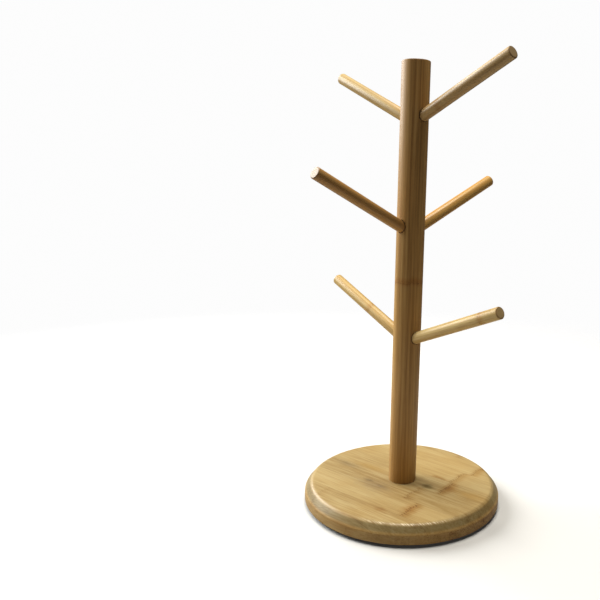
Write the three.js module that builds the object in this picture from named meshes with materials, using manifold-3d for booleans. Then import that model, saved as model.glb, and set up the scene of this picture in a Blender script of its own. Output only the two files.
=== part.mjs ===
// A mug tree: a round turned base, an upright post and three pairs of rising pegs.
// Millimetres, +Z up. The origin is on the surface it stands on, under the middle of the base.
// The top and bottom pairs of pegs lie along X and the middle pair lies along Y.
import * as THREE from 'three';
import { mergeVertices } from 'three/addons/utils/BufferGeometryUtils.js';
import Module from 'manifold-3d';

const wasm = await Module();
wasm.setup();

// Driving dimensions
const overallHeight = 330;
const jointGap = 0.3;          // between neighbouring solids

const baseDiameter = 150;
const baseThickness = 13;
const baseBevelWidth = 5;      // measured in from the rim
const baseBevelDrop = 6;       // measured down from the top face
const baseEdgeRound = 0.8;     // small round where the bevel meets the top face and the rim
const baseFootRound = 1;       // small round along the underside's edge

const padDiameter = 16;
const padHeight = 2;           // height of the base's underside above the surface
const padRing = 58;            // from the middle of the base to the middle of a pad
const padCount = 4;
const padRound = 0.4;

const postDiameter = 21;
const postTopRound = 1.2;
const postFootChamfer = 0.4;

const pegDiameter = 8.7;
const pegReach = 96;           // from the post's axis to the tip, along the peg
const pegSeat = 4.3;           // from the post's axis to the inner end, along the peg
const pegEndRound = 0.8;
// height: where the pegs' axes meet the post's axis; turn and rise in degrees, rise above level
const pegPairs = [
  { name: 'upper', height: 287, turn: 0, rise: 24 },
  { name: 'middle', height: 207, turn: 90, rise: 25.5 },
  { name: 'lower', height: 125, turn: 0, rise: 22.5 },
];

const screwLength = 38;
const screwHeadDiameter = 8.4;
const screwHeadDepth = 2.6;
const screwThreadDiameter = 4.2;
const screwCoreDiameter = 2.8;
const screwPitch = 2.5;
const screwTip = 4;            // length of the pointed end
const screwSunk = 1.6;         // from the base's underside up to the head's face
const recessSpan = 4.4;        // cross recess in the head
const recessSlot = 0.9;
const recessDepth = 1.7;

// Smoothness of the round shapes
const baseSides = 96;
const postSides = 60;
const pegSides = 30;
const smallSides = 24;
const roundSteps = 2;

const baseUnderside = padHeight;
const baseTop = baseUnderside + baseThickness;
const postFoot = baseTop + jointGap;
const radians = THREE.MathUtils.degToRad;

const bamboo = (name, color) => new THREE.MeshStandardMaterial({ name, color, roughness: 0.5, metalness: 0 });
const baseBamboo = bamboo('bamboo_board', 0xcfa66a);
const postBamboo = bamboo('bamboo_post', 0xb98d52);
const pegBamboo = bamboo('bamboo_peg', 0xd3b078);
const zincSteel = new THREE.MeshStandardMaterial({ name: 'zinc_steel', color: 0xb8babd, roughness: 0.35, metalness: 1 });
const blackRubber = new THREE.MeshStandardMaterial({ name: 'black_rubber', color: 0x1b1b1a, roughness: 0.9, metalness: 0 });

const at = (radius, z) => new THREE.Vector2(radius, z);

// A quarter-style round that replaces the corner of a profile between two neighbours.
function roundedCorner(before, corner, after, size) {
  const start = corner.clone().add(before.clone().sub(corner).setLength(size));
  const end = corner.clone().add(after.clone().sub(corner).setLength(size));
  const curve = new THREE.QuadraticBezierCurve(start, corner, end);
  return curve.getPoints(roundSteps);
}

// Turns a profile of (radius, z) points about the Z axis.
function turned(profile, sides) {
  const shape = new THREE.LatheGeometry(profile, sides);
  shape.rotateX(Math.PI / 2);
  return shape;
}

// A merged, position-only copy as a solid for cutting.
function toSolid(geometry) {
  const bare = geometry.clone();
  bare.deleteAttribute('normal');
  bare.deleteAttribute('uv');
  const merged = mergeVertices(bare, 1e-4);
  const vertProperties = new Float32Array(merged.attributes.position.array);
  const triVerts = new Uint32Array(merged.index.array);
  return new wasm.Manifold(new wasm.Mesh({ numProp: 3, vertProperties, triVerts }));
}

function toGeometry(solid) {
  const mesh = solid.getMesh();
  const geometry = new THREE.BufferGeometry();
  geometry.setAttribute('position', new THREE.BufferAttribute(mesh.vertProperties, 3));
  geometry.setIndex(new THREE.BufferAttribute(mesh.triVerts, 1));
  geometry.computeVertexNormals();
  return geometry;
}

function cutFrom(body, cutters) {
  let solid = toSolid(body);
  for (const cutter of cutters) {
    solid = solid.subtract(toSolid(cutter));
  }
  return toGeometry(solid);
}

// The disc: a flat top, a bevelled shoulder, an upright rim and a countersunk screw hole on its axis.
function baseDiscShape() {
  const rim = baseDiameter / 2;
  const shankHole = screwThreadDiameter / 2 + jointGap;
  const sink = screwHeadDiameter / 2 + jointGap;
  const sinkTop = baseUnderside + screwSunk + screwHeadDepth;
  const underCorner = at(rim, baseUnderside);
  const rimTop = at(rim, baseTop - baseBevelDrop);
  const shoulder = at(rim - baseBevelWidth, baseTop);
  const sinkEdge = at(sink, baseUnderside);
  const holeTop = at(shankHole, baseTop);
  const profile = [
    sinkEdge,
    ...roundedCorner(sinkEdge, underCorner, rimTop, baseFootRound),
    ...roundedCorner(underCorner, rimTop, shoulder, baseEdgeRound),
    ...roundedCorner(rimTop, shoulder, holeTop, baseEdgeRound),
    holeTop,
    at(shankHole, sinkTop),
    at(sink, baseUnderside + screwSunk),
    sinkEdge,
  ];
  return turned(profile, baseSides);
}

// Puts a shape that stands on Z onto a peg's axis: out from the post at the peg's rise.
function layOnPegAxis(object, pair, side) {
  object.rotation.set(0, radians(90 - pair.rise), 0);
  const arm = new THREE.Group();
  arm.position.z = pair.height;
  arm.rotation.z = radians(pair.turn + side * 180);
  arm.add(object);
  return arm;
}

// One blind hole for a peg, drilled at the peg's rise until it clears the peg's inner end.
function pegHoleCutter(pair, side) {
  const holeRadius = pegDiameter / 2 + jointGap;
  const bottom = pegSeat - jointGap;
  const outside = postDiameter;
  const profile = [at(0, bottom), at(holeRadius, bottom), at(holeRadius, outside), at(0, outside)];
  const drill = new THREE.Mesh(turned(profile, pegSides));
  layOnPegAxis(drill, pair, side).updateMatrixWorld(true);
  return drill.geometry.applyMatrix4(drill.matrixWorld);
}

function screwHoleCutter() {
  const holeRadius = screwThreadDiameter / 2 + jointGap;
  const top = baseUnderside + screwSunk + screwLength + jointGap;
  const below = postFoot - 1;
  const profile = [at(0, below), at(holeRadius, below), at(holeRadius, top - screwTip), at(0, top)];
  return turned(profile, smallSides);
}

// The post: a dowel with an eased top, six blind peg holes and a pilot hole for the screw.
function postShape() {
  const radius = postDiameter / 2;
  const topEdge = at(radius, overallHeight);
  const axisTop = at(0, overallHeight);
  const sideFoot = at(radius, postFoot + postFootChamfer);
  const profile = [
    at(0, postFoot),
    at(radius - postFootChamfer, postFoot),
    sideFoot,
    ...roundedCorner(sideFoot, topEdge, axisTop, postTopRound),
    axisTop,
  ];
  const holes = pegPairs.flatMap((pair) => [pegHoleCutter(pair, 0), pegHoleCutter(pair, 1)]);
  return cutFrom(turned(profile, postSides), [...holes, screwHoleCutter()]);
}

// A peg along Z: a plain dowel with both ends eased.
function pegShape() {
  const radius = pegDiameter / 2;
  const inner = at(radius, pegSeat);
  const outer = at(radius, pegReach);
  const profile = [
    at(0, pegSeat),
    ...roundedCorner(at(0, pegSeat), inner, outer, pegEndRound),
    ...roundedCorner(inner, outer, at(0, pegReach), pegEndRound),
    at(0, pegReach),
  ];
  return turned(profile, pegSides);
}

// The screw stands on its flat head: a cone under the head, ridges for the thread and a point.
function screwShape() {
  const core = screwCoreDiameter / 2;
  const crest = screwThreadDiameter / 2;
  const foot = baseUnderside + screwSunk;
  const profile = [at(0, foot), at(screwHeadDiameter / 2, foot), at(core, foot + screwHeadDepth)];
  const threadEnd = foot + screwLength - screwTip;
  for (let z = foot + screwHeadDepth + screwPitch; z < threadEnd; z += screwPitch) {
    profile.push(at(core, z - screwPitch * 0.25), at(crest, z), at(core, z + screwPitch * 0.25));
  }
  profile.push(at(core, threadEnd), at(0, foot + screwLength));
  const slots = [0, 90].map((turn) => {
    const slot = new THREE.BoxGeometry(recessSpan, recessSlot, 2 * recessDepth);
    slot.rotateZ(radians(turn));
    slot.translate(0, 0, foot);
    return slot;
  });
  return cutFrom(turned(profile, smallSides), slots);
}

// A flat round pad that lifts the base off the surface.
function padShape() {
  const radius = padDiameter / 2;
  const height = padHeight - jointGap;
  const foot = at(radius, 0);
  const edge = at(radius, height);
  const profile = [
    at(0, 0),
    ...roundedCorner(at(0, 0), foot, edge, padRound),
    ...roundedCorner(foot, edge, at(0, height), padRound),
    at(0, height),
  ];
  return turned(profile, smallSides);
}

function named(name, geometry, material) {
  const mesh = new THREE.Mesh(geometry, material);
  mesh.name = name;
  return mesh;
}

const mugTree = new THREE.Group();
mugTree.add(named('base_disc', baseDiscShape(), baseBamboo));
mugTree.add(named('post', postShape(), postBamboo));
mugTree.add(named('post_screw', screwShape(), zincSteel));

for (const pair of pegPairs) {
  for (const side of [0, 1]) {
    const peg = named(`${pair.name}_peg_${side + 1}`, pegShape(), pegBamboo);
    mugTree.add(layOnPegAxis(peg, pair, side));
  }
}

for (let index = 0; index < padCount; index += 1) {
  const angle = radians(360 * (index + 0.5) / padCount);
  const pad = named(`foot_pad_${index + 1}`, padShape(), blackRubber);
  pad.position.set(padRing * Math.cos(angle), padRing * Math.sin(angle), 0);
  mugTree.add(pad);
}

export default mugTree;
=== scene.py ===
import bpy
import bmesh
import math
from mathutils import Matrix, Quaternion, Vector


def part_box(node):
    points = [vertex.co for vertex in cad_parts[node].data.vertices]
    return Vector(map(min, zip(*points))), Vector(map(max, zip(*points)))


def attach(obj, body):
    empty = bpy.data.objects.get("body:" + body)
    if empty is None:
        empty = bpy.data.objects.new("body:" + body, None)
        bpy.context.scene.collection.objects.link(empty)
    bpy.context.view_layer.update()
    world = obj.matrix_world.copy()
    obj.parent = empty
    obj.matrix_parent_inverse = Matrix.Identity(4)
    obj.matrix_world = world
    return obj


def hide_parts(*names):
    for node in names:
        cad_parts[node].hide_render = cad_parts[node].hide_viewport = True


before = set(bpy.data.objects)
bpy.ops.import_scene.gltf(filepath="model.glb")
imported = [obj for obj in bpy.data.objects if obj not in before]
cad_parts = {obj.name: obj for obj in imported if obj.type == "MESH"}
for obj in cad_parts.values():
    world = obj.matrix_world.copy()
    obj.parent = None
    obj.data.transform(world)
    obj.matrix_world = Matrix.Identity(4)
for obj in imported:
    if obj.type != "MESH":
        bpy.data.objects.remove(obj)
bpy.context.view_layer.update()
mm = 0.001
up = Vector((0, 0, 1))
sharpAngle = 35                  # degrees; edges sharper than this stay crisp


class Wire:
    # a node's output, so that sums on it can be written as Python
    def __init__(self, finish, socket):
        self.finish = finish
        self.socket = socket

    def sum(self, operation, first, second=0.0):
        return self.finish.node("ShaderNodeMath", {"operation": operation}, {0: first, 1: second})

    def __add__(self, other):
        return self.sum("ADD", self, other)

    def __radd__(self, other):
        return self.sum("ADD", other, self)

    def __sub__(self, other):
        return self.sum("SUBTRACT", self, other)

    def __rsub__(self, other):
        return self.sum("SUBTRACT", other, self)

    def __mul__(self, other):
        return self.sum("MULTIPLY", self, other)

    def __rmul__(self, other):
        return self.sum("MULTIPLY", other, self)

    def __truediv__(self, other):
        return self.sum("DIVIDE", self, other)

    def __abs__(self):
        return self.sum("ABSOLUTE", self)

    def __lt__(self, other):
        return self.sum("LESS_THAN", self, other)

    def floor(self):
        return self.sum("FLOOR", self)

    def root(self):
        return self.sum("SQRT", self)


class Finish:
    # one material's node tree
    def __init__(self, name):
        self.material = bpy.data.materials.new(name)
        self.material.use_nodes = True
        self.tree = self.material.node_tree
        self.tree.nodes.clear()

    def node(self, kind, settings=None, sockets=None, output=0):
        made = self.tree.nodes.new(kind)
        for key, value in (settings or {}).items():
            if key == "stops":
                self.setStops(made.color_ramp, value)
            elif key == "rampKind":
                made.color_ramp.interpolation = value
            else:
                setattr(made, key, value)
        for key, value in (sockets or {}).items():
            if isinstance(value, Wire):
                self.tree.links.new(value.socket, made.inputs[key])
            else:
                made.inputs[key].default_value = value
        return Wire(self, made.outputs[output]) if made.outputs else None

    def setStops(self, ramp, stops):
        while len(ramp.elements) < len(stops):
            ramp.elements.new(0.5)
        for element, (place, colour) in zip(ramp.elements, stops):
            element.position = place
            element.color = (*colour, 1)

    def vector(self, operation, first, second, output=0):
        return self.node("ShaderNodeVectorMath", {"operation": operation}, {0: first, 1: second}, output)

    def length(self, vector):
        return self.node("ShaderNodeVectorMath", {"operation": "LENGTH"}, {0: vector}, "Value")

    def combine(self, x, y, z):
        return self.node("ShaderNodeCombineXYZ", None, {0: x, 1: y, 2: z})

    # 0 below low, 1 above high, smooth between
    def fade(self, value, low, high):
        sockets = {"Value": value, "From Min": low, "From Max": high}
        return self.node("ShaderNodeMapRange", {"interpolation_type": "SMOOTHSTEP"}, sockets)

    # 1 on a line, 0 further from it than reach
    def near(self, distance, reach):
        return 1 - self.fade(abs(distance), 0.0, reach)

    def blend(self, factor, first, second, mode="MIX"):
        settings = {"data_type": "RGBA", "blend_type": mode}
        return self.node("ShaderNodeMix", settings, {0: factor, 6: first, 7: second}, 2)

    def tint(self, colour, factor, amount):
        # multiplies a colour by amount where factor is 1
        return self.blend(factor, colour, (amount[0], amount[1], amount[2], 1), "MULTIPLY")

    def noise(self, place, detail=2, rough=0.5, warp=0.0):
        sockets = {"Vector": place, "Scale": 1.0, "Detail": detail, "Roughness": rough, "Distortion": warp}
        return self.node("ShaderNodeTexNoise", None, sockets)

    def surface(self, sockets):
        shader = self.node("ShaderNodeBsdfPrincipled", None, sockets)
        self.node("ShaderNodeOutputMaterial", None, {"Surface": shader})
        return self.material


def grainPlaces(finish, centre, along, aside, across):
    # millimetres along the fibres and in the two directions across them
    place = finish.node("ShaderNodeTexCoord", output="Object")
    offset = finish.vector("SUBTRACT", place, centre)
    axes = [Vector(axis).normalized() / mm for axis in (along, aside, across)]
    return [finish.vector("DOT_PRODUCT", offset, axis, "Value") for axis in axes]


def streaks(finish, grain, length, width, seed, detail=2, rough=0.5):
    u, v, w = grain
    place = finish.combine(u / length + seed * 3.17, v / width + seed * 1.31, w / width - seed * 2.07)
    return finish.noise(place, detail, rough)


def endGrain(finish, along):
    # 1 where the surface cuts straight across the fibres
    normal = finish.node("ShaderNodeNewGeometry", output="Normal")
    facing = abs(finish.vector("DOT_PRODUCT", normal, Vector(along).normalized(), "Value"))
    return finish.fade(facing, 0.45, 0.95)


dashTint = (0.62, 0.5, 0.36)     # what the short dark fibres multiply the colour by


def fibreColour(finish, grain, look, seed):
    # broad bands, narrow bands and hair-fine fibres, from dark to pale
    broad = streaks(finish, grain, look["bandLength"], look["broadWidth"], seed)
    narrow = streaks(finish, grain, look["bandLength"] * 0.7, look["narrowWidth"], seed + 1, 3)
    hair = streaks(finish, grain, look["fibreLength"], look["fibreWidth"], seed + 2, 3, 0.6)
    broadShare, narrowShare, hairShare = look["shares"]
    tone = broadShare * broad + narrowShare * narrow + hairShare * hair
    spread = look["contrast"]
    level = finish.fade(tone, 0.5 - 0.5 / spread, 0.5 + 0.5 / spread)
    stops = [(0.0, look["dark"]), (0.5, look["middle"]), (1.0, look["pale"])]
    colour = finish.node("ShaderNodeValToRGB", {"stops": stops}, {0: level})
    dashes = streaks(finish, grain, look["fibreLength"] * 0.45, look["fibreWidth"] * 0.8, seed + 5, 1)
    dash = finish.fade(dashes, 0.60, 0.72)
    colour = finish.tint(colour, dash * look["dashStrength"], dashTint)
    return colour, narrow, hair, dash


def nodeMark(finish, grain, place, seed, reach, teeth=0.0):
    # the scar of a joint in the cane: a thin wavering line, a stained band beside it and small pits
    u, v, w = grain
    waver = finish.noise(finish.combine(v / 1.5, w / 1.5, seed), 2, 0.6)
    slow = finish.noise(finish.combine(v / 6.0, w / 6.0, seed + 4), 1)
    distance = u - place + 2.0 * (waver - 0.5) + 5.0 * (slow - 0.5)
    if teeth:
        step = v / 2.4
        distance = distance + teeth * abs(step - step.floor() - 0.5)
    line = finish.near(distance, 0.75)
    band = finish.near(distance - reach * 0.3, reach)
    speckle = finish.noise(finish.combine(u / 0.9, v / 0.7, w / 0.7 + seed), 2)
    pits = finish.fade(speckle, 0.58, 0.68) * finish.near(distance - 0.8, 2.8)
    broken = finish.fade(finish.noise(finish.combine(v / 1.1, w / 1.1, seed + 9), 1), 0.3, 0.5)
    return line * broken, band, pits


satin = {
    "bumpStrength": 0.5,
    "bumpDepth": 0.08 * mm,
    "coatRoughness": 0.24,
    "dowelSpecular": 0.36,
}


def satinSockets(finish, colour, height, roughness, coat, specular):
    sockets = {"Strength": satin["bumpStrength"], "Distance": satin["bumpDepth"], "Height": height}
    return {
        "Base Color": colour,
        "Roughness": roughness,
        "Normal": finish.node("ShaderNodeBump", None, sockets, "Normal"),
        "Coat Weight": coat,
        "Coat Roughness": satin["coatRoughness"],
        "Specular IOR Level": specular,
    }


def ringProfile(profile, sides, closed=False):
    # spins (radius, height) points about the upright axis
    shape = bmesh.new()
    corners = [shape.verts.new((radius, 0, height)) for radius, height in profile]
    pairs = list(zip(corners, corners[1:]))
    if closed:
        pairs.append((corners[-1], corners[0]))
    lines = [shape.edges.new(pair) for pair in pairs]
    bmesh.ops.spin(shape, geom=corners + lines, cent=(0, 0, 0), axis=(0, 0, 1), angle=math.tau,
                   steps=sides, use_merge=True, use_duplicate=False)
    bmesh.ops.remove_doubles(shape, verts=shape.verts, dist=0.00001)
    bmesh.ops.recalc_face_normals(shape, faces=shape.faces)
    return shape


def easeRing(shape, radius, height, size, steps=4):
    # rounds the ring of edges at one radius and height
    def onRing(vertex):
        there = math.hypot(vertex.co.x, vertex.co.y)
        return abs(there - radius) < 0.00002 and abs(vertex.co.z - height) < 0.00002
    ring = [edge for edge in shape.edges if all(onRing(vertex) for vertex in edge.verts)]
    bmesh.ops.bevel(shape, geom=ring, offset=size, offset_type="OFFSET", affect="EDGES",
                    segments=steps, profile=0.5, material=-1)


def makeObject(name, shape):
    mesh = bpy.data.meshes.new(name)
    shape.to_mesh(mesh)
    shape.free()
    smoothMesh(mesh)
    piece = bpy.data.objects.new(name, mesh)
    bpy.context.collection.objects.link(piece)
    return piece


def smoothMesh(mesh):
    for face in mesh.polygons:
        face.use_smooth = True
    mesh.set_sharp_from_angle(angle=math.radians(sharpAngle))


def cutHoles(body, cutters):
    for cutter in cutters:
        drill = body.modifiers.new("drill", "BOOLEAN")
        drill.operation = "DIFFERENCE"
        drill.solver = "EXACT"
        drill.object = cutter
    evaluated = body.evaluated_get(bpy.context.evaluated_depsgraph_get())
    cut = bpy.data.meshes.new_from_object(evaluated)
    body.modifiers.clear()
    body.data = cut
    smoothMesh(cut)
    for cutter in cutters:
        bpy.data.objects.remove(cutter)


def fit(piece, node, material):
    # the finished piece stands for its CAD node
    piece.data.materials.clear()
    piece.data.materials.append(material)
    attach(piece, "root")
    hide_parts(node)


base = {
    "bevelWidth": 5 * mm,
    "bevelDrop": 6 * mm,
    "holeRadius": 2.4 * mm,
    "sinkRadius": 4.5 * mm,
    "sinkDepth": 1.6 * mm,
    "sinkTop": 4.2 * mm,
    "sides": 240,
    "shoulderRound": 1.9 * mm,
    "arrisRound": 0.9 * mm,
    "footRound": 1.0 * mm,
    "coat": 0.14,
    "specular": 0.28,
    "grainTurn": 11,             # degrees from +X
    "stripWidth": 22,            # millimetres from here on
    "firstSeam": -4,
    "glueLine": 6.6,             # up from the underside
    "lowerShift": 9,
    # where the joint of the cane falls along each strip, from the first to the last
    "joints": [-31, 35, 21.5, 36.5, 34, 39.5, 12],
    "jointStrengths": [0.3, 1.0, 0.6, 1.0, 0.85, 0.95, 0.5],
    "stripTones": [0.50, 0.58, 0.44, 0.52, 0.62, 0.60, 0.50],
    # discoloured places and painted shadow: along, aside, length, width, strength, and what the colour is
    # multiplied by. The three grey patches to the left front of the post (-10, -23; -18, -19; -3, -21.5)
    # are painted shadow of the post; the brown one beside the post at 22, 20 darkens the board there
    "stainsAndShadows": [
        (22.5, 1.3, 9.0, 5.2, 1.0, (0.42, 0.41, 0.30)),
        # painted shadow of the post: this grey patch and the next two
        (-10, -23, 23, 12, 0.9, (0.80, 0.80, 0.90)),
        (-18, -19, 7, 3.0, 0.8, (0.64, 0.63, 0.68)),
        (-3, -21.5, 8, 3.4, 0.8, (0.68, 0.66, 0.70)),
        (-50, -7.5, 19, 6, 0.9, (0.74, 0.75, 0.82)),
        (18, -50, 8, 5, 0.8, (0.76, 0.62, 0.48)),
        (22, 20, 12, 3.0, 0.9, (0.70, 0.53, 0.34)),
        (38, 10, 9, 14, 0.8, (0.86, 0.70, 0.50)),
        (34, -36, 9, 12, 0.9, (0.86, 0.70, 0.54)),
        (56, 9, 22, 8, 0.8, (1.0, 0.90, 0.68)),
        (-32, 0, 24, 7, 0.8, (1.0, 0.92, 0.72)),
    ],
}
boardLook = {
    "dark": (0.315, 0.190, 0.064),
    "middle": (0.445, 0.302, 0.120),
    "pale": (0.54, 0.405, 0.195),
    "shares": (0.30, 0.30, 0.40),
    "bandLength": 70,
    "broadWidth": 9,
    "narrowWidth": 2.6,
    "fibreLength": 24,
    "fibreWidth": 1.0,
    "contrast": 3.0,
    "dashStrength": 0.5,
}
# what each feature multiplies the colour by; the two named colours are blended in as they are
boardTints = {
    "darkStrip": (0.84, 0.80, 0.76),
    "drift": (0.90, 0.80, 0.62),
    "whole": (0.91, 0.95, 0.99),
    "jointBand": (0.78, 0.65, 0.46),
    "jointLine": (0.46, 0.33, 0.21),
    "jointPits": (0.42, 0.31, 0.20),
    "seam": (0.58, 0.42, 0.28),
    "glue": (0.62, 0.46, 0.32),
    # painted light: lifts the rim wall's colour to stand in for light bouncing onto it
    "paintedRimLight": (1.62, 1.42, 1.26),
    "cutEnd": (0.88, 0.78, 0.66),
    "pepper": (0.58, 0.42, 0.30),
    # painted shade on the sloping bevel, darkening it against the window light
    "bevel": (0.62, 0.64, 0.61),
    "gaps": (0.60, 0.46, 0.32),
    "paleColour": (0.535, 0.375, 0.160, 1),
    "rubbedColour": (0.90, 0.76, 0.50, 1),
}


def makeBase():
    low, high = (Vector(corner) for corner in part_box("base_disc"))
    radius = (high.x - low.x) / 2
    shoulder = radius - base["bevelWidth"]
    bottom, top = low.z, high.z
    sinkTop = bottom + base["sinkTop"]
    sinkEdge = bottom + base["sinkDepth"]
    hold = base["shoulderRound"] * 1.2
    profile = [
        (base["sinkRadius"], bottom), (radius * 0.5, bottom),
        (radius - 2 * base["footRound"], bottom), (radius, bottom),
        (radius, top - base["bevelDrop"]), (shoulder, top),
        (shoulder - hold, top), (shoulder * 0.75, top), (shoulder * 0.4, top),
        (base["holeRadius"] + hold, top), (base["holeRadius"], top),
        (base["holeRadius"], sinkTop), (base["sinkRadius"], sinkEdge),
    ]
    shape = ringProfile(profile, base["sides"], closed=True)
    easeRing(shape, shoulder, top, base["shoulderRound"], 6)
    easeRing(shape, radius, top - base["bevelDrop"], base["arrisRound"])
    easeRing(shape, radius, bottom, base["footRound"])
    return makeObject("turned_base", shape)


def stripRamp(finish, position, values):
    # one level for each strip, with hard steps between them
    count = len(values)
    stops = [(index / count, (value, value, value)) for index, value in enumerate(values)]
    settings = {"stops": stops, "rampKind": "CONSTANT"}
    return finish.node("ShaderNodeValToRGB", settings, {0: position / count})


def boardFinish():
    finish = Finish("bamboo_board_satin")
    low, high = (Vector(corner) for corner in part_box("base_disc"))
    turn = Matrix.Rotation(math.radians(base["grainTurn"]), 3, "Z")
    along, aside = turn @ Vector((1, 0, 0)), turn @ Vector((0, 1, 0))
    centre = Vector((0, 0, low.z))
    u, v, w = grainPlaces(finish, centre, along, aside, up)
    radius = (u * u + v * v).root()
    rimRadius = (high.x - low.x) / 2 / mm
    shoulder = rimRadius - base["bevelWidth"] / mm
    thickness = (high.z - low.z) / mm

    lower = w < base["glueLine"]
    position = (v + lower * base["lowerShift"] - base["firstSeam"]) / base["stripWidth"] + 3
    number = position.floor() + lower * 11
    seam = abs(position - position.floor() - 0.5) * base["stripWidth"]
    seamLine = finish.fade(seam, base["stripWidth"] / 2 - 0.22, base["stripWidth"] / 2)
    glue = finish.near(w - base["glueLine"], 0.16)

    grain = (u + number * 57.3, v + number * 3.7, w + number * 1.9)
    colour, narrow, hair, dash = fibreColour(finish, grain, boardLook, 2.0)
    tone = stripRamp(finish, position, base["stripTones"])
    pale = finish.fade(tone, 0.4, 0.65)
    colour = finish.blend(pale * 0.5, colour, boardTints["paleColour"])
    colour = finish.tint(colour, (1 - pale) * 0.35, boardTints["darkStrip"])
    drift = finish.noise(finish.combine(u / 38, v / 38, w / 38), 1)
    colour = finish.tint(colour, finish.fade(drift, 0.42, 0.66) * 0.4, boardTints["drift"])
    colour = finish.tint(colour, 1.0, boardTints["whole"])

    places = [(joint + 100) / 200 for joint in base["joints"]]
    joint = stripRamp(finish, position, places) * 200 - 100 + lower * 41
    strength = stripRamp(finish, position, base["jointStrengths"])
    line, band, pits = nodeMark(finish, (u - joint, v, w), 0.0, 0.0, 6.0, 4.4)
    colour = finish.tint(colour, band * strength * 0.8, boardTints["jointBand"])
    colour = finish.tint(colour, line * strength * 0.95, boardTints["jointLine"])
    colour = finish.tint(colour, pits * strength * 0.95, boardTints["jointPits"])

    ragged = finish.noise(finish.combine(u / 5.0, v / 1.6, 3.0), 3)
    # darker and paler patches, three of them the post's painted shadow
    for placeU, placeV, long, wide, amount, change in base["stainsAndShadows"]:
        spotU = (u - placeU) / long
        spotV = (v - placeV) / wide
        stainOrShadow = finish.near((spotU * spotU + spotV * spotV).root() + 0.9 * (ragged - 0.5), 1.0)
        colour = finish.tint(colour, stainOrShadow * amount, change)

    colour = finish.tint(colour, seamLine * 0.45, boardTints["seam"])
    colour = finish.tint(colour, glue * 0.4, boardTints["glue"])

    # cut ends of the fibres round the rim: browner, with a salt and pepper of bundles
    cut = endGrain(finish, along)
    bundles = finish.noise(finish.combine(u / 3.0, v / 1.0, w / 0.8), 2)
    pepper = finish.fade(bundles, 0.5, 0.64)
    # painted light: the rim wall's colour is lifted to stand in for the light bouncing onto it
    paintedRimLight = finish.fade(radius, rimRadius - 1.6, rimRadius - 0.3)
    colour = finish.tint(colour, paintedRimLight, boardTints["paintedRimLight"])
    colour = finish.tint(colour, cut * 0.3, boardTints["cutEnd"])
    colour = finish.tint(colour, cut * pepper * (0.25 + 0.5 * lower), boardTints["pepper"])

    # painted shade: the sloping bevel's colour is darkened to hold down the window light that falls on it
    bevel = finish.fade(radius, shoulder + 0.4, shoulder + 1.6)
    colour = finish.tint(colour, bevel, boardTints["bevel"])

    # the shoulder: fibres broken where they cross the edge, rubbed pale
    nearTop = finish.fade(w, thickness - 1.8, thickness - 0.4)
    crossing = finish.fade(u / radius, 0.1, 0.45) * finish.fade(v * -1, 20.0, 42.0)
    tickNoise = finish.noise(finish.combine(u / 9.0, v / 0.9, number), 1)
    ticks = finish.fade(tickNoise, 0.47, 0.58) * crossing
    edge = finish.near(radius - shoulder, 1.5) * nearTop
    colour = finish.blend(edge * ticks * 0.75, colour, boardTints["rubbedColour"])
    gaps = finish.near(radius - shoulder - 0.5, 1.3) * nearTop * crossing
    colour = finish.tint(colour, gaps * (1 - ticks) * 0.4, boardTints["gaps"])

    height = 0.5 * narrow + 0.3 * hair - 0.6 * dash - 0.9 * seamLine
    height = height - 0.8 * pits * strength - 0.6 * line * strength
    height = height - 0.9 * cut * pepper + 0.35 * edge * ticks
    roughness = 0.48 + 0.10 * hair + 0.08 * cut - 0.18 * edge
    sockets = satinSockets(finish, colour, height, roughness, base["coat"], base["specular"])
    return finish.surface(sockets)


post = {
    "sides": 180,
    "topRound": 0.8 * mm,
    "footRound": 0.35 * mm,
    "holeGap": 0.3 * mm,
    "screwHole": 2.4 * mm,
    "drillEase": 0.05 * mm,
    "jointHeight": 170,
}
postLook = {
    "dark": (0.28, 0.138, 0.033),
    "middle": (0.47, 0.262, 0.080),
    "pale": (0.60, 0.375, 0.135),
    "shares": (0.38, 0.34, 0.28),
    "bandLength": 190,
    "broadWidth": 5.5,
    "narrowWidth": 1.5,
    "fibreLength": 45,
    "fibreWidth": 0.5,
    "contrast": 2.7,
    "dashStrength": 0.55,
}

peg = {
    "sides": 72,
    "seat": 4.3 * mm,
    "footRound": 0.5 * mm,
    "tipRound": 0.7 * mm,
    "slantRounds": 40,           # rounds of working the slant out of the box
}
# joint is where a cane joint falls from the root; 300 is past the tip, so that peg has none
# each peg's colour multiplier is partly its own tone and partly painted light, brighter or darker by how
# strongly that peg was lit; middle_peg_1 is brightened and yellowed for the light its top half lacks
pegLooks = {
    "upper_peg_1": {
        "shade": (0.94, 0.93, 0.87), "endColour": (0.36, 0.25, 0.12),
        "joint": 25.5, "mark": 0.8, "ring": 0.12,
    },
    "upper_peg_2": {
        "shade": (1.16, 1.23, 1.20), "endColour": (0.62, 0.50, 0.33),
        "joint": 300, "mark": 0.0, "ring": 0.0,
    },
    "middle_peg_1": {
        "shade": (1.26, 1.08, 0.64), "endColour": (0.40, 0.24, 0.08),
        "joint": 300, "mark": 0.0, "ring": 0.0,
    },
    "middle_peg_2": {
        "shade": (0.88, 0.70, 0.46), "endColour": (0.68, 0.59, 0.50),
        "joint": 300, "mark": 0.0, "ring": 0.0,
    },
    "lower_peg_1": {
        "shade": (1.24, 1.32, 1.24), "endColour": (0.45, 0.31, 0.14),
        "joint": 79, "mark": 1.0, "ring": 0.2,
    },
    "lower_peg_2": {
        "shade": (1.30, 1.36, 1.24), "endColour": (0.62, 0.48, 0.28),
        "joint": 45, "mark": 0.8, "ring": 0.25,
    },
}
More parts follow.
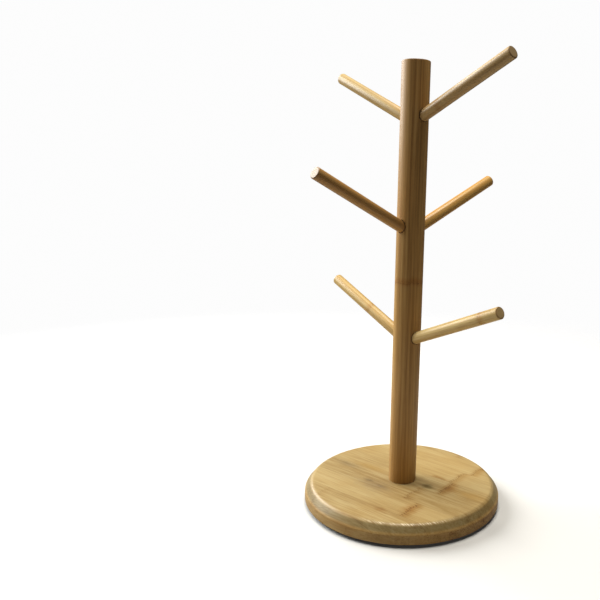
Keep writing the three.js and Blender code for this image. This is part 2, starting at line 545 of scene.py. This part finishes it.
pegLook = {
    "dark": (0.36, 0.215, 0.078),
    "middle": (0.52, 0.345, 0.148),
    "pale": (0.61, 0.45, 0.225),
    "shares": (0.38, 0.34, 0.28),
    "bandLength": 120,
    "broadWidth": 3.5,
    "narrowWidth": 1.2,
    "fibreLength": 30,
    "fibreWidth": 0.6,
    "contrast": 2.4,
    "dashStrength": 0.4,
}
dowelTints = {
    "jointBand": (0.80, 0.62, 0.44),
    "jointLine": (0.45, 0.28, 0.16),
    "jointPits": (0.34, 0.21, 0.12),
    "pepper": (0.72, 0.60, 0.48),
    "rim": (0.60, 0.42, 0.28),
    # glue and painted shade in the crease round a peg's root
    "rootGlueAndShade": (0.20, 0.12, 0.07),
}


def pegLine(node):
    # a peg's middle, direction, radius and length, worked out from its box
    low, high = (Vector(corner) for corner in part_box(node))
    size = high - low
    radius = min(size.x, size.y) / 2
    outX = size.x > size.y
    middle = (low + high) / 2
    sign = 1 if (middle.x if outX else middle.y) > 0 else -1
    out = Vector((sign, 0, 0)) if outX else Vector((0, sign, 0))
    run, climb = max(size.x, size.y), size.z
    # the box of a slanted cylinder: run = l cos + 2 r sin, climb = l sin + 2 r cos
    angle = math.atan2(climb, run)
    for _ in range(peg["slantRounds"]):
        span = (run - 2 * radius * math.sin(angle)) / math.cos(angle)
        angle = math.asin((climb - 2 * radius * math.cos(angle)) / span)
    direction = out * math.cos(angle) + up * math.sin(angle)
    return middle, direction, radius, span


def alongLine(start, direction):
    # carries a shape that stands on the origin to a line in space
    return Matrix.Translation(start) @ direction.to_track_quat("Z", "Y").to_matrix().to_4x4()


def makeDowel(name, start, direction, radius, length, sides, foot, tip):
    profile = [
        (0, 0), (radius * 0.6, 0), (radius, 0),
        (radius, length), (radius * 0.6, length), (0, length),
    ]
    shape = ringProfile(profile, sides)
    easeRing(shape, radius, 0, foot)
    easeRing(shape, radius, length, tip)
    shape.transform(alongLine(start, direction))
    return makeObject(name, shape)


def makePost():
    low, high = (Vector(corner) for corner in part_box("post"))
    radius = (high.x - low.x) / 2
    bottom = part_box("base_disc")[1][2] + 0.02 * mm
    body = makeDowel("post_dowel", Vector((0, 0, bottom)), up, radius, high.z - bottom,
                     post["sides"], post["footRound"], post["topRound"])
    drills = []
    for node in pegLooks:
        middle, direction, pegRadius, span = pegLine(node)
        start = middle - direction * (span / 2 + post["holeGap"])
        drills.append(makeDowel("drill", start, direction, pegRadius + post["holeGap"], span,
                                64, post["drillEase"], post["drillEase"]))
    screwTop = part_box("post_screw")[1][2]
    drills.append(makeDowel("drill", Vector((0, 0, bottom - 5 * mm)), up, post["screwHole"],
                            screwTop - bottom + 6 * mm, 48, post["drillEase"], post["drillEase"]))
    cutHoles(body, drills)
    return body


def makePeg(node):
    middle, direction, radius, span = pegLine(node)
    start = middle - direction * span / 2
    return makeDowel(node + "_dowel", start, direction, radius, span,
                     peg["sides"], peg["footRound"], peg["tipRound"])


def dowelFinish(name, look, centre, along, marks):
    finish = Finish(name)
    side = along.orthogonal().normalized()
    u, v, w = grain = grainPlaces(finish, centre, along, side, along.cross(side))
    seed, mark = marks["seed"], marks["mark"]
    colour, narrow, hair, dash = fibreColour(finish, grain, look, seed)
    # the piece's own tone together with painted light: the per-piece colour multiplier
    colour = finish.tint(colour, 1.0, marks["shade"])
    line, band, pits = nodeMark(finish, grain, marks["joint"], seed, 4.5)
    colour = finish.tint(colour, band * mark * 0.7, dowelTints["jointBand"])
    colour = finish.tint(colour, line * marks["ring"], dowelTints["jointLine"])
    colour = finish.tint(colour, pits * mark * 0.9, dowelTints["jointPits"])
    # the sawn end, browner towards its rim. Its end colour is partly the end grain's own colour and partly
    # painted light: pale on middle_peg_2, where the window lit the end, and near black on the post's top,
    # painted shade
    cut = endGrain(finish, along)
    bundles = finish.noise(finish.combine(u / 4.0, v / 0.7, w / 0.7), 1)
    pepper = finish.fade(bundles, 0.5, 0.66)
    radius = (v * v + w * w).root()
    colour = finish.blend(cut * 0.85, colour, (*marks["endColour"], 1))
    colour = finish.tint(colour, cut * pepper * 0.15, dowelTints["pepper"])
    nearTip = finish.fade(u, marks["tip"] - 1.2, marks["tip"] - 0.4)
    rim = finish.near(radius - marks["radius"] + 0.5, 0.7) * nearTip
    colour = finish.tint(colour, rim * 0.7, dowelTints["rim"])
    # glue and dirt, with painted shade, in the crease round the joint with the post
    if marks["rootGlueAndShade"]:
        across = finish.node("ShaderNodeTexCoord", output="Object")
        flat = finish.vector("MULTIPLY", across, (1 / mm, 1 / mm, 0))
        fromAxis = finish.length(flat)
        ring = 1 - finish.fade(fromAxis, marks["rootGlueAndShade"] + 0.15, marks["rootGlueAndShade"] + 0.95)
        colour = finish.tint(colour, ring * 0.85, dowelTints["rootGlueAndShade"])
    height = 0.10 * narrow + 0.02 * hair - 0.1 * dash
    height = height - 0.8 * pits * mark - 0.6 * line * marks["ring"] - 0.3 * cut * pepper
    roughness = marks["roughness"] + 0.10 * hair + 0.12 * cut
    sockets = satinSockets(finish, colour, height, roughness, marks["coat"], satin["dowelSpecular"])
    return finish.surface(sockets)


pad = {
    "sides": 72,
    "round": 0.35 * mm,
    "dark": (0.012, 0.012, 0.012, 1),
    "pale": (0.035, 0.034, 0.033, 1),
    "cells": 2600,               # to the metre
    "bumpDepth": 0.1 * mm,
}


def makePad(node):
    low, high = (Vector(corner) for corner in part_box(node))
    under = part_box("base_disc")[0][2]
    middle = (low + high) / 2
    foot = Vector((middle.x, middle.y, low.z))
    return makeDowel(node + "_foam", foot, up, (high.x - low.x) / 2, under - low.z - 0.02 * mm,
                     pad["sides"], pad["round"], pad["round"])


def padFinish():
    finish = Finish("black_foam_rubber")
    place = finish.node("ShaderNodeTexCoord", output="Object")
    cells = finish.noise(finish.vector("MULTIPLY", place, (pad["cells"],) * 3), 2, 0.6)
    colour = finish.blend(finish.fade(cells, 0.35, 0.7), pad["dark"], pad["pale"])
    sockets = {"Strength": 0.6, "Distance": pad["bumpDepth"], "Height": cells}
    bump = finish.node("ShaderNodeBump", None, sockets, "Normal")
    roughness = 0.78 + 0.16 * cells
    return finish.surface({"Base Color": colour, "Roughness": roughness, "Normal": bump})


screwLook = {
    "dark": (0.56, 0.57, 0.58, 1),
    "pale": (0.78, 0.78, 0.76, 1),
    "clouds": 900,               # to the metre
    "bumpDepth": 0.04 * mm,
}


def screwFinish():
    finish = Finish("zinc_plated_steel")
    place = finish.node("ShaderNodeTexCoord", output="Object")
    cloud = finish.noise(finish.vector("MULTIPLY", place, (screwLook["clouds"],) * 3), 3, 0.6)
    colour = finish.blend(cloud, screwLook["dark"], screwLook["pale"])
    sockets = {"Strength": 0.3, "Distance": screwLook["bumpDepth"], "Height": cloud}
    bump = finish.node("ShaderNodeBump", None, sockets, "Normal")
    roughness = 0.24 + 0.2 * cloud
    sockets = {"Base Color": colour, "Metallic": 1.0, "Roughness": roughness, "Normal": bump}
    return finish.surface(sockets)


view = {
    "turn": 46.9,              # degrees round from the front
    "distance": 0.4866,
    "height": 0.2414,
    "aimAside": -0.0029,
    "aimHeight": 0.1717,
    "roll": 1.92,
    "lens": 39.4,
    "sensor": 36,
    "clip": (0.02, 30),
    "shift": (-0.175, -0.0333),
}
lights = {
    # turn is measured from the camera's side, height and distance in metres
    "window": {"turn": -120, "height": 1.0, "distance": 1.6, "size": (1.7, 1.1), "watts": 58,
               "colour": (1.0, 0.99, 0.94)},
    "ceiling": {"turn": 150, "height": 1.6, "distance": 0.12, "size": (0.7, 0.7), "watts": 24,
                "colour": (1.0, 0.94, 0.82)},
}
stage = {
    "floor": (0.78, 0.785, 0.80, 1),
    "card": (0.47, 0.435, 0.385, 1),    # what the floor gives back to the object
    "sky": (0.98, 0.98, 0.98, 1),
    "ambient": 0.07,
    "fadeStart": 0.30,                 # metres from the middle
    "fadeEnd": 0.80,
    "cardRadius": 0.34,
    "lightAim": 0.12,                  # height the lamps point at
}


def aroundFrom(turn, distance, height):
    angle = math.radians(turn)
    return Vector((math.sin(angle) * distance, -math.cos(angle) * distance, height))


def makeCamera():
    lens = bpy.data.cameras.new("camera")
    lens.lens = view["lens"]
    lens.sensor_width = view["sensor"]
    lens.shift_x, lens.shift_y = view["shift"]
    lens.clip_start, lens.clip_end = view["clip"]
    camera = bpy.data.objects.new("camera", lens)
    bpy.context.collection.objects.link(camera)
    eye = aroundFrom(view["turn"], view["distance"], view["height"])
    aside = aroundFrom(view["turn"] + 90, view["aimAside"], 0)
    aim = aside + Vector((0, 0, view["aimHeight"]))
    camera.rotation_mode = "QUATERNION"
    camera.location = eye
    roll = Quaternion((0, 0, 1), math.radians(view["roll"]))
    camera.rotation_quaternion = (aim - eye).to_track_quat("-Z", "Y") @ roll
    bpy.context.scene.camera = camera


def makeLights():
    for name, light in lights.items():
        lamp = bpy.data.lights.new(name, "AREA")
        lamp.shape = "RECTANGLE"
        lamp.size, lamp.size_y = light["size"]
        lamp.energy = light["watts"]
        lamp.color = light["colour"]
        holder = bpy.data.objects.new(name, lamp)
        bpy.context.collection.objects.link(holder)
        holder.location = aroundFrom(view["turn"] + light["turn"], light["distance"], light["height"])
        aim = Vector((0, 0, stage["lightAim"])) - holder.location
        holder.rotation_mode = "QUATERNION"
        holder.rotation_quaternion = aim.to_track_quat("-Z", "Y")


def makeDisc(name, radius, material):
    shape = bmesh.new()
    bmesh.ops.create_circle(shape, cap_ends=True, segments=96, radius=radius)
    disc = makeObject(name, shape)
    disc.data.materials.append(material)
    return disc


def floorFinish():
    # pale paper that thins out into the backdrop
    finish = Finish("floor_paper")
    place = finish.node("ShaderNodeTexCoord", output="Object")
    cloud = finish.noise(finish.vector("MULTIPLY", place, (3, 3, 3)), 2)
    red, green, blue, _ = stage["floor"]
    colour = finish.blend(cloud, (red * 0.985, green * 0.985, blue * 0.985, 1), stage["floor"])
    paper = finish.node("ShaderNodeBsdfDiffuse", None, {"Color": colour})
    clear = finish.node("ShaderNodeBsdfTransparent")
    away = finish.length(place)
    factor = finish.fade(away, stage["fadeStart"], stage["fadeEnd"])
    mixed = finish.node("ShaderNodeMixShader", None, {0: factor, 1: paper, 2: clear})
    finish.node("ShaderNodeOutputMaterial", None, {"Surface": mixed})
    return finish.material


def cardFinish():
    finish = Finish("bounce_card")
    place = finish.node("ShaderNodeTexCoord", output="Object")
    cloud = finish.noise(finish.vector("MULTIPLY", place, (3, 3, 3)), 1)
    red, green, blue, _ = stage["card"]
    colour = finish.blend(cloud, (red * 0.97, green * 0.97, blue * 0.97, 1), stage["card"])
    return finish.surface({"Base Color": colour, "Roughness": 0.9})


def makeStage():
    floor = makeDisc("floor", stage["fadeEnd"], floorFinish())
    floor.visible_diffuse = False
    floor.visible_glossy = False
    floor.visible_shadow = False
    card = makeDisc("bounce_card", stage["cardRadius"], cardFinish())
    card.visible_camera = False
    card.visible_shadow = False
    world = bpy.data.worlds.new("studio")
    world.use_nodes = True
    nodes, links = world.node_tree.nodes, world.node_tree.links
    backdrop = nodes["Background"]
    backdrop.inputs["Color"].default_value = stage["sky"]
    ray = nodes.new("ShaderNodeLightPath")
    level = nodes.new("ShaderNodeMapRange")
    level.inputs["To Min"].default_value = stage["ambient"]
    level.inputs["To Max"].default_value = 1.0
    links.new(ray.outputs["Is Camera Ray"], level.inputs["Value"])
    links.new(level.outputs[0], backdrop.inputs["Strength"])
    bpy.context.scene.world = world
    bpy.context.scene.view_settings.view_transform = "Standard"


makeCamera()
makeLights()
makeStage()
print("stage ready")

fit(makeBase(), "base_disc", boardFinish())
print("base ready")

postLow, postHigh = (Vector(corner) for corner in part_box("post"))
postRadius = (postHigh.x - postLow.x) / 2 / mm
postMarks = {
    "seed": 11.0, "joint": post["jointHeight"], "mark": 0.9, "ring": 0.25,
    # the near-black end colour is painted shade on the post's rounded top edge
    "shade": (1, 1, 1), "endColour": (0.12, 0.06, 0.022),
    "radius": postRadius, "tip": postHigh.z / mm, "rootGlueAndShade": 0,
    "roughness": 0.44, "coat": 0.06,
}
postFinish = dowelFinish("bamboo_post_satin", postLook, Vector((0, 0, 0)), up, postMarks)
fit(makePost(), "post", postFinish)
print("post ready")

for order, (node, look) in enumerate(pegLooks.items()):
    middle, direction, radius, span = pegLine(node)
    root = middle - direction * (span / 2 + peg["seat"])
    marks = {
        "seed": 20.0 + 7 * order,
        "radius": radius / mm, "tip": (span + peg["seat"]) / mm, "rootGlueAndShade": postRadius,
        "roughness": 0.40, "coat": 0.16,
    }
    marks.update(look)
    pegFinish = dowelFinish(node + "_satin", pegLook, root, direction, marks)
    fit(makePeg(node), node, pegFinish)
print("pegs ready")

rubber = padFinish()
for node in sorted(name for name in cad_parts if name.startswith("foot_pad")):
    fit(makePad(node), node, rubber)
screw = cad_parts["post_screw"]
screw.data.materials.clear()
screw.data.materials.append(screwFinish())
print("screw and pads ready")
